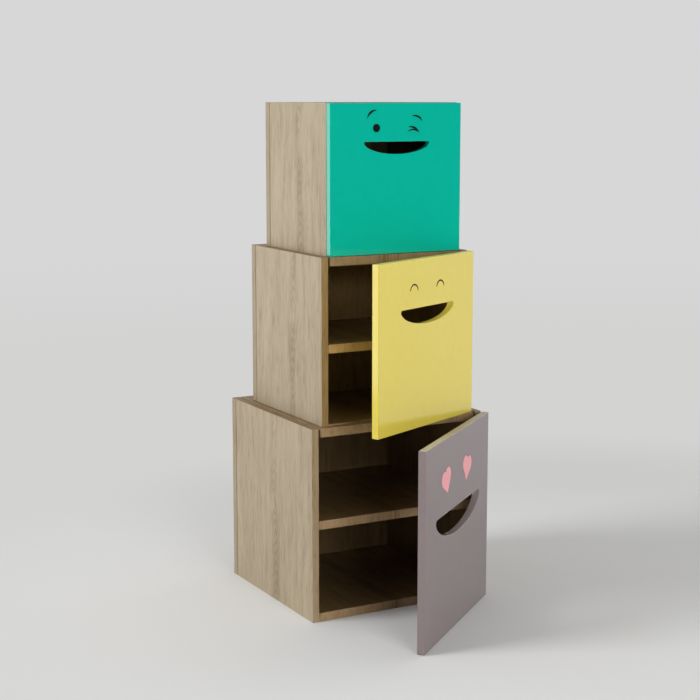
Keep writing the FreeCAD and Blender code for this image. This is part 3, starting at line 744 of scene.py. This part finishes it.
# Colours of the upper edges: on the two lower doors painted paler, as painted light from above
LIT_UPPER_EDGES = {
    "bottom": screen(180, 170, 148),
    "middle": screen(216, 206, 100),
    "top": screen(4, 184, 159),
}
FILMS = {
    "bottom": screen(240, 168, 172),
    "middle": screen(40, 26, 6),
    "top": screen(18, 18, 20),
}
LACQUER_ROUGHNESS = 0.1
UPPER_EDGE_ROUGHNESS = 0.4
FILM_ROUGHNESS = 0.6
for cabinet in CABINETS:
    lacquer = make_finish(
        f"{cabinet}_lacquer", LACQUERS[cabinet], LACQUER_ROUGHNESS, 60.0,
        darker=0.03, spread=0.03, bump=0.02,
        upper=(LIT_UPPER_EDGES[cabinet], UPPER_EDGE_ROUGHNESS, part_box(f"{cabinet}_door")[1][2]),
    )
    dress(f"{cabinet}_door", lacquer)
    film = make_finish(f"{cabinet}_film", FILMS[cabinet], FILM_ROUGHNESS, 300.0, specular=0.15)
    dress(f"{cabinet}_door_eyes", film)
print("doors lacquered:", ", ".join(LACQUERS))

# %% [markdown]
# ## Metal, beech and silicone
# Hinges, pins and short screws are nickel-plated steel, the long screws behind are zinc-plated and a
# little yellower. Pegs and dowels are pale, faintly mottled beech. The soft dots that quieten a
# closing door are milky silicone.

# %% Finishes of the hardware
FINISHES = {
    "steel": make_finish("steel", screen(190, 190, 192), 0.3, 500.0, darker=0.12, metallic=1.0),
    "zinc": make_finish("zinc", screen(202, 199, 186), 0.38, 420.0, darker=0.15, metallic=1.0),
    "beech": make_finish("beech", screen(206, 172, 130), 0.6, 500.0, darker=0.25, bump=0.1),
    "silicone": make_finish("silicone", screen(225, 225, 222), 0.3, 200.0, darker=0.04),
}
print("hardware finishes:", ", ".join(FINISHES))


# %% [markdown]
# ## Where the small pieces are
# A screw has one place and one way to point, and its shape is always the same: that is work for
# Geometry Nodes, which put one shape on many points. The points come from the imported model, where each
# screw, pin and dowel is already a plain solid. The solids of a node are told apart by their joined
# corners, and the box of each gives its length, its width and its first end. A door stands open, so
# its solids are turned back by the door's angle before they are measured.

# %% Solids of a node, measured in the axes of its own body
# Corners nearer than this are one corner
MERGE_DISTANCE = 1e-6


def swing_of(cabinet, part):
    """Matrix from the axes of the tower or of a door to the tower's own."""
    if part == "cabinet":
        return Matrix.Identity(4)
    hinge = next(joint for joint in frame["joints"] if joint["name"] == f"{cabinet}_door_hinge")
    turn = Matrix.Rotation(math.radians(-hinge["range_deg"][0]), 4, "Z")
    return Matrix.Translation(Vector(hinge["pos_m"])) @ turn


def merged_copy(node_name):
    shape = bmesh.new()
    shape.from_mesh(NODES[node_name].data)
    bmesh.ops.remove_doubles(shape, verts=shape.verts, dist=MERGE_DISTANCE)
    return shape


def solids_of(node_name, swing):
    """Lowest and highest corner of each solid, from left to right, then front to back, then up."""
    shape = merged_copy(node_name)
    shape.transform(swing.inverted())
    waiting = set(shape.verts)
    boxes = []
    while waiting:
        growing = [waiting.pop()]
        corners = []
        while growing:
            vertex = growing.pop()
            corners.append(vertex.co.copy())
            for edge in vertex.link_edges:
                neighbour = edge.other_vert(vertex)
                if neighbour in waiting:
                    waiting.remove(neighbour)
                    growing.append(neighbour)
        low = Vector(min(corner[axis] for corner in corners) for axis in range(3))
        high = Vector(max(corner[axis] for corner in corners) for axis in range(3))
        boxes.append((low, high))
    shape.free()
    return sorted(boxes, key=lambda box: tuple(round(level, 4) for level in box[0]))


def first_end(low, high, heading):
    """Middle of the box's face that a piece with this heading starts from."""
    middle = (low + high) / 2
    axis = max(range(3), key=lambda number: abs(heading[number]))
    middle[axis] = low[axis] if heading[axis] > 0 else high[axis]
    return middle


sample = solids_of("bottom_back_screws", swing_of("bottom", "cabinet"))
print("the bottom cabinet has", len(sample), "back screws, the first at", sample[0][0])

# %% [markdown]
# ## One tree for everything turned
# Screws, pins, dowels, pegs and the soft door dots are all turned shapes: a profile that goes round an
# axis. The tree draws a straight line of rings, and two curves say where each ring lies and how wide
# it is, as shares of the length and of the radius. A circle follows the line. Dowels get flutes, which
# let the glue out, by pulling the circle in at even steps. Screws get a thread, a thin wedge along a
# spiral, and a recess for the driver, cut with a Boolean. The shape is then put on every point and
# turned along the point's own heading.

# %% Profiles of the turned pieces
# Pairs of the share of the length and the share of the radius
PIN_PROFILE = [(0, 0.8), (0.03, 0.96), (0.06, 1), (0.94, 1), (0.97, 0.96), (1, 0.8)]
DOWEL_PROFILE = [(0, 0.72), (0.04, 0.95), (0.06, 1), (0.94, 1), (0.96, 0.95), (1, 0.72)]
PEG_PROFILE = [(0, 0.85), (0.04, 1), (0.82, 1), (0.92, 0.93), (0.97, 0.75), (1, 0.45)]
DOT_PROFILE = [(0, 1), (0.35, 1), (0.65, 0.95), (0.85, 0.82), (1, 0.6)]
HINGE_PIN_PROFILE = [
    (0, 0.6), (0.006, 0.9), (0.0125, 1), (0.0192, 1), (0.0194, 0.625),
    (0.9806, 0.625), (0.9808, 1), (0.9875, 1), (0.994, 0.9), (1, 0.6),
]
SHORT_SCREW_PROFILE = [
    (0, 0.95), (0.008, 1), (0.09, 0.56), (0.12, 0.5),
    (0.3, 0.5), (0.33, 0.4), (0.88, 0.4), (1, 0.04),
]
LONG_SCREW_PROFILE = [
    (0, 0.96), (0.004, 1), (0.055, 0.47), (0.07, 0.42),
    (0.4, 0.42), (0.42, 0.34), (0.95, 0.34), (1, 0.05),
]
# A curve of nodes is read from a table of 256 steps, so 16 even steps between rings fall on its lines
RING_COUNT = 17


def even_rings(profile):
    """The profile with rings added in its longest stretches, up to the ring count."""
    rings = list(profile)
    while len(rings) < RING_COUNT:
        gaps = [after[0] - before[0] for before, after in zip(rings, rings[1:])]
        place = gaps.index(max(gaps))
        before, after = rings[place], rings[place + 1]
        rings.insert(place + 1, tuple((low + high) / 2 for low, high in zip(before, after)))
    return rings


print("rings of a shelf pin:", len(even_rings(PIN_PROFILE)))


# %% Nodes of a geometry tree
class Shape(Graph):
    """Nodes of a geometry tree."""

    def tool(self, name, inputs=None, result=0, **settings):
        return self.node("GeometryNode" + name, inputs, **settings).outputs[result]

    def curve(self, given, levels):
        """Straight lines through levels that stand at even steps from 0 to 1."""
        made = self.node("ShaderNodeFloatCurve", {"Value": given})
        points = made.mapping.curves[0].points
        last = len(levels) - 1
        while len(points) < len(levels):
            points.new(0.5, 0.5)
        for number, level in enumerate(levels):
            points[number].location = (number / last, level)
        for point in points:
            point.handle_type = "VECTOR"
        made.mapping.update()
        return made.outputs[0]

    def vector(self, **parts):
        return self.node("ShaderNodeCombineXYZ", parts).outputs[0]


TURNED_INPUTS = {
    "Length": ("NodeSocketFloat", 0.01),
    "Radius": ("NodeSocketFloat", 0.002),
    "Sides": ("NodeSocketInt", 24),
    "Flutes": ("NodeSocketFloat", 0.0),
    "Flute Depth": ("NodeSocketFloat", 0.0),
    "Thread Start": ("NodeSocketFloat", 0.4),
    "Thread Pitch": ("NodeSocketFloat", 0.0012),
    "Thread Radius": ("NodeSocketFloat", 0.5),
    "Recess Width": ("NodeSocketFloat", 0.003),
    "Recess Depth": ("NodeSocketFloat", 0.001),
    "Finish": ("NodeSocketMaterial", None),
}
print("a turned piece has", len(TURNED_INPUTS), "inputs")


# %% Flutes, thread and recess
# Width of a bar of the cross recess, as a share of its length
SLOT_SHARE = 0.2
# Height of the cosine wave above which a flute begins
FLUTE_START = 0.2
# Steps in a turn of a thread, its wedge as a share of the radius, and its share of the length left
THREAD_STEPS = 10
WEDGE_SHARE = 0.1
THREAD_SHARE = 0.88
# Edges with a smaller angle than this, in radians, are shaded smooth
SMOOTH_ANGLE = 0.6


def fluted_circle(shape, given):
    """Circle of radius 1, pulled in at even steps."""
    circle = shape.tool("CurvePrimitiveCircle", {"Resolution": given["Sides"], "Radius": 1.0})
    place = shape.tool("InputPosition")
    parts = shape.split(place)
    angle = shape.maths("ARCTAN2", parts["Y"], parts["X"])
    wave = shape.maths("COSINE", shape.times(angle, given["Flutes"]))
    dip = shape.times(shape.remap(wave, FLUTE_START, 1.0), given["Flute Depth"])
    pulled = shape.scaled(place, shape.maths("SUBTRACT", 1.0, dip))
    return shape.tool("SetPosition", {"Geometry": circle, "Position": pulled})


def thread(shape, given):
    """Thin wedge along a spiral, from the start of the thread to near the tip."""
    start = shape.times(given["Length"], given["Thread Start"])
    height = shape.times(shape.maths("SUBTRACT", given["Length"], start), THREAD_SHARE)
    radius = shape.times(given["Radius"], given["Thread Radius"])
    wedge = shape.times(given["Radius"], WEDGE_SHARE)
    middle = shape.maths("SUBTRACT", radius, wedge)
    inputs = {
        "Resolution": THREAD_STEPS,
        "Rotations": shape.maths("DIVIDE", height, given["Thread Pitch"]),
        "Start Radius": middle,
        "End Radius": middle,
        "Height": height,
    }
    spiral = shape.tool("CurveSpiral", inputs)
    section = shape.tool("CurvePrimitiveCircle", {"Resolution": 3, "Radius": wedge})
    inputs = {"Curve": spiral, "Profile Curve": section, "Fill Caps": True}
    skin = shape.tool("CurveToMesh", inputs)
    inputs = {"Geometry": skin, "Translation": shape.vector(Z=start)}
    return shape.tool("Transform", inputs)


def recess(shape, given, kind):
    """Cutter of the driver's recess: a cross of two bars, or a six-sided plug."""
    width = given["Recess Width"]
    depth = shape.times(given["Recess Depth"], 2.0)
    if kind == "hex":
        radius = shape.times(width, 0.5)
        inputs = {"Vertices": 6, "Radius": radius, "Depth": depth}
        return [shape.tool("MeshCylinder", inputs)]
    slot = shape.times(width, SLOT_SHARE)
    sizes = [{"X": width, "Y": slot, "Z": depth}, {"X": slot, "Y": width, "Z": depth}]
    return [shape.tool("MeshCube", {"Size": shape.vector(**size)}) for size in sizes]


def smooth_but_for_edges(shape, geometry):
    """Smooth shading that keeps the edges sharper than about 35 degrees."""
    smooth = shape.tool("SetShadeSmooth", {"Geometry": geometry, "Shade Smooth": True}, domain="FACE")
    angle = shape.tool("InputMeshEdgeAngle")
    sharp = shape.maths("GREATER_THAN", angle, SMOOTH_ANGLE)
    inputs = {"Geometry": smooth, "Selection": sharp, "Shade Smooth": False}
    return shape.tool("SetShadeSmooth", inputs, domain="EDGE")


print("a thread has", THREAD_STEPS, "steps in each turn")


# %% Geometry tree of a turned piece
def make_turned_tree(name, profile, threaded, recess_kind):
    tree = bpy.data.node_groups.new(name, "GeometryNodeTree")
    tree.interface.new_socket("Geometry", in_out="INPUT", socket_type="NodeSocketGeometry")
    add_inputs(tree, TURNED_INPUTS)
    tree.interface.new_socket("Geometry", in_out="OUTPUT", socket_type="NodeSocketGeometry")
    shape = Shape(tree)
    given = shape.node("NodeGroupInput").outputs

    rings = even_rings(profile)
    line = shape.tool("CurvePrimitiveLine", {"End": (0, 0, 1)})
    line = shape.tool("ResampleCurve", {"Curve": line, "Count": RING_COUNT})
    share = shape.tool("SplineParameter", result="Factor")
    height, width = (
        shape.times(shape.curve(share, levels), given[size])
        for levels, size in zip(zip(*rings), ("Length", "Radius"))
    )
    line = shape.tool("SetCurveRadius", {"Curve": line, "Radius": width})
    line = shape.tool("SetPosition", {"Geometry": line, "Position": shape.vector(Z=height)})
    inputs = {"Curve": line, "Profile Curve": fluted_circle(shape, given), "Fill Caps": True}
    body = shape.tool("CurveToMesh", {**inputs, "Scale": shape.tool("InputRadius")})
    if recess_kind:
        cut = shape.node("GeometryNodeMeshBoolean", {0: body}, operation="DIFFERENCE", solver="EXACT")
        for cutter in recess(shape, given, recess_kind):
            shape.feed(cut.inputs["Mesh 2"], cutter)
        body = cut.outputs[0]
    if threaded:
        both = shape.node("GeometryNodeJoinGeometry")
        for part in (body, thread(shape, given)):
            shape.feed(both.inputs[0], part)
        body = both.outputs[0]

    heading = shape.tool("InputNamedAttribute", {"Name": "heading"}, data_type="FLOAT_VECTOR")
    turn = shape.node("FunctionNodeAlignRotationToVector", {"Vector": heading}, axis="Z").outputs[0]
    inputs = {"Points": given["Geometry"], "Instance": body, "Rotation": turn}
    placed = shape.tool("InstanceOnPoints", inputs)
    real = shape.tool("RealizeInstances", {"Geometry": placed})
    smooth = smooth_but_for_edges(shape, real)
    finished = shape.tool("SetMaterial", {"Geometry": smooth, "Material": given["Finish"]})
    shape.node("NodeGroupOutput", {"Geometry": finished})
    return tree


# Profile, whether it has a thread, and the kind of recess
TURNED = {
    "shelf_pin": (PIN_PROFILE, False, None),
    "dowel": (DOWEL_PROFILE, False, None),
    "peg": (PEG_PROFILE, False, None),
    "dot": (DOT_PROFILE, False, None),
    "hinge_pin": (HINGE_PIN_PROFILE, False, None),
    "short_screw": (SHORT_SCREW_PROFILE, True, "cross"),
    "long_screw": (LONG_SCREW_PROFILE, True, "hex"),
}
TREES = {key: make_turned_tree(f"turned_{key}", *facts) for key, facts in TURNED.items()}
for key, tree in TREES.items():
    print("tree", key, "with", len(tree.nodes), "nodes")

# %% [markdown]
# ## Screws, pins, dowels, pegs and dots in their places
# For every node of small turned pieces, the points of a bare mesh mark the first ends, and each point
# carries its heading. The modifier runs the tree on them, with the sizes taken from the solids, and
# the result becomes one plain mesh for the body that it rides on.

# %% Tree, heading and finish of each kind of piece
SHORT_THREAD = {"Sides": 28, "Thread Start": 0.3, "Thread Pitch": 0.0011, "Thread Radius": 0.54}
LONG_THREAD = {"Sides": 28, "Thread Start": 0.42, "Thread Pitch": 0.0026, "Thread Radius": 0.46}
HEX_RECESS = {"Recess Width": 0.004, "Recess Depth": 0.0018}
FLUTES = {"Sides": 64, "Flutes": 16.0, "Flute Depth": 0.06}
# Tree, heading, part that it rides on, finish, and values of the tree's inputs
HARDWARE = {
    "shelf_pins": ("shelf_pin", (1, 0, 0), "cabinet", "steel", {"Sides": 28}),
    "dowels": ("dowel", (1, 0, 0), "cabinet", "beech", FLUTES),
    "pegs": ("peg", (0, 0, 1), "cabinet", "beech", {"Sides": 32}),
    "hinge_pins": ("hinge_pin", (0, 0, 1), "cabinet", "steel", {"Sides": 28}),
    "door_bumpers": ("dot", (0, 1, 0), "door", "silicone", {"Sides": 36}),
    "side_screws": ("short_screw", (0, 1, 0), "cabinet", "steel", SHORT_THREAD),
    "door_screws": ("short_screw", (0, -1, 0), "door", "steel", SHORT_THREAD),
    "back_screws": ("long_screw", (0, -1, 0), "cabinet", "zinc", {**LONG_THREAD, **HEX_RECESS}),
}
print("kinds of turned piece:", ", ".join(HARDWARE))


# %% From points to plain meshes
def plain_mesh(made):
    """The object's evaluated mesh, free of its modifiers."""
    graph = bpy.context.evaluated_depsgraph_get()
    mesh = bpy.data.meshes.new_from_object(made.evaluated_get(graph))
    old = made.data
    made.modifiers.clear()
    made.data = mesh
    bpy.data.meshes.remove(old)
    return mesh


def make_points(name, places, heading):
    mesh = bpy.data.meshes.new(name)
    mesh.from_pydata(places, [], [])
    headings = mesh.attributes.new("heading", "FLOAT_VECTOR", "POINT")
    for number in range(len(places)):
        headings.data[number].vector = heading
    made = bpy.data.objects.new(name, mesh)
    bpy.context.scene.collection.objects.link(made)
    return made


def socket_key(tree, name):
    """Identifier of a tree's input, which a modifier's values are filed under."""
    for item in tree.interface.items_tree:
        if item.name == name and item.in_out == "INPUT":
            return item.identifier


print("a dowel's length is filed under", socket_key(TREES["dowel"], "Length"))


# %% Turned hardware
def make_hardware(cabinet, piece):
    kind, heading, part, finish, values = HARDWARE[piece]
    node_name = f"{cabinet}_{piece}"
    swing = swing_of(cabinet, part)
    boxes = solids_of(node_name, swing)
    heading = Vector(heading)
    size = boxes[0][1] - boxes[0][0]
    length = abs(size.dot(heading))
    radius = max(abs(size[axis]) for axis in range(3) if not heading[axis]) / 2
    places = [swing @ first_end(low, high, heading) for low, high in boxes]
    made = make_points(f"{node_name}_turned", places, swing.to_3x3() @ heading)
    tree = TREES[kind]
    modifier = made.modifiers.new("turned", "NODES")
    modifier.node_group = tree
    values = {"Length": length, "Radius": radius, "Finish": FINISHES[finish], **values}
    for key, value in values.items():
        modifier[socket_key(tree, key)] = value
    mesh = plain_mesh(made)
    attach(made, f"{cabinet}_{part}")
    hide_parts(node_name)
    return len(boxes), length, radius, len(mesh.polygons)


for cabinet in CABINETS:
    for piece in HARDWARE:
        if f"{cabinet}_{piece}" in NODES:
            count, length, radius, faces = make_hardware(cabinet, piece)
            size = f"{length * 1000:.1f} by {radius * 2000:.1f} mm"
            print(f"{cabinet} {piece}: {count} of {size}, {faces} faces")

# %% [markdown]
# ## Softened edges
# Cut board and stamped metal have slightly soft edges, and these catch the light as fine lines. The
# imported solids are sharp. A copy of each is joined up at its corners, its flat faces are made whole
# again, and a Bevel modifier rounds every edge sharper than 35 degrees. The modifier is then applied,
# so the rounding is real geometry.

# %% Widths of the soft edges
# Part that the piece rides on, its slot, and the width of its soft edges in metres
SOFT_EDGES = {
    **{board: ("cabinet", "oak_board", 0.0006) for board in BOARDS},
    "floor_sheet": ("cabinet", "floor_sheet", 0.0003),
    "side_hinge_leaves": ("cabinet", "steel", 0.0002),
    "door_hinge_leaves": ("door", "steel", 0.0002),
    "door": ("door", None, 0.0008),
}
FLAT_ANGLE = math.radians(0.5)
SHARP_ANGLE = math.radians(35)
# A flat face above this area, in square metres, keeps its own normal, so that it mirrors without a bend
LARGE_FACE = 5e-4
BEVEL_SEGMENTS = 2
print("kinds of piece with soft edges:", len(SOFT_EDGES))


# %% Boards, doors and hinge leaves with soft edges
def soften(cabinet, piece):
    part, slot, width = SOFT_EDGES[piece]
    node_name = f"{cabinet}_{piece}"
    shape = merged_copy(node_name)
    bmesh.ops.dissolve_limit(shape, angle_limit=FLAT_ANGLE, verts=shape.verts, edges=shape.edges)
    mesh = bpy.data.meshes.new(f"{node_name}_soft")
    shape.to_mesh(mesh)
    shape.free()
    made = bpy.data.objects.new(f"{node_name}_soft", mesh)
    bpy.context.scene.collection.objects.link(made)
    mesh.materials.append(NODES[node_name].material_slots[0].material)
    bevel = made.modifiers.new("soft_edge", "BEVEL")
    bevel.width = width
    bevel.segments = BEVEL_SEGMENTS
    bevel.limit_method = "ANGLE"
    bevel.angle_limit = SHARP_ANGLE
    mesh = plain_mesh(made)
    mesh.shade_smooth()
    mesh.set_sharp_from_angle(angle=SHARP_ANGLE)
    for polygon in mesh.polygons:
        polygon.use_smooth = polygon.area < LARGE_FACE and len(polygon.vertices) <= 4
    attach(made, f"{cabinet}_{part}")
    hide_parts(node_name)
    return len(mesh.polygons)


for cabinet in CABINETS:
    for piece in ("side_hinge_leaves", "door_hinge_leaves"):
        dress(f"{cabinet}_{piece}", FINISHES["steel"])
    pieces = [piece for piece in SOFT_EDGES if f"{cabinet}_{piece}" in NODES]
    faces = sum(soften(cabinet, piece) for piece in pieces)
    print(cabinet, "softened pieces:", len(pieces), "with", faces, "faces")
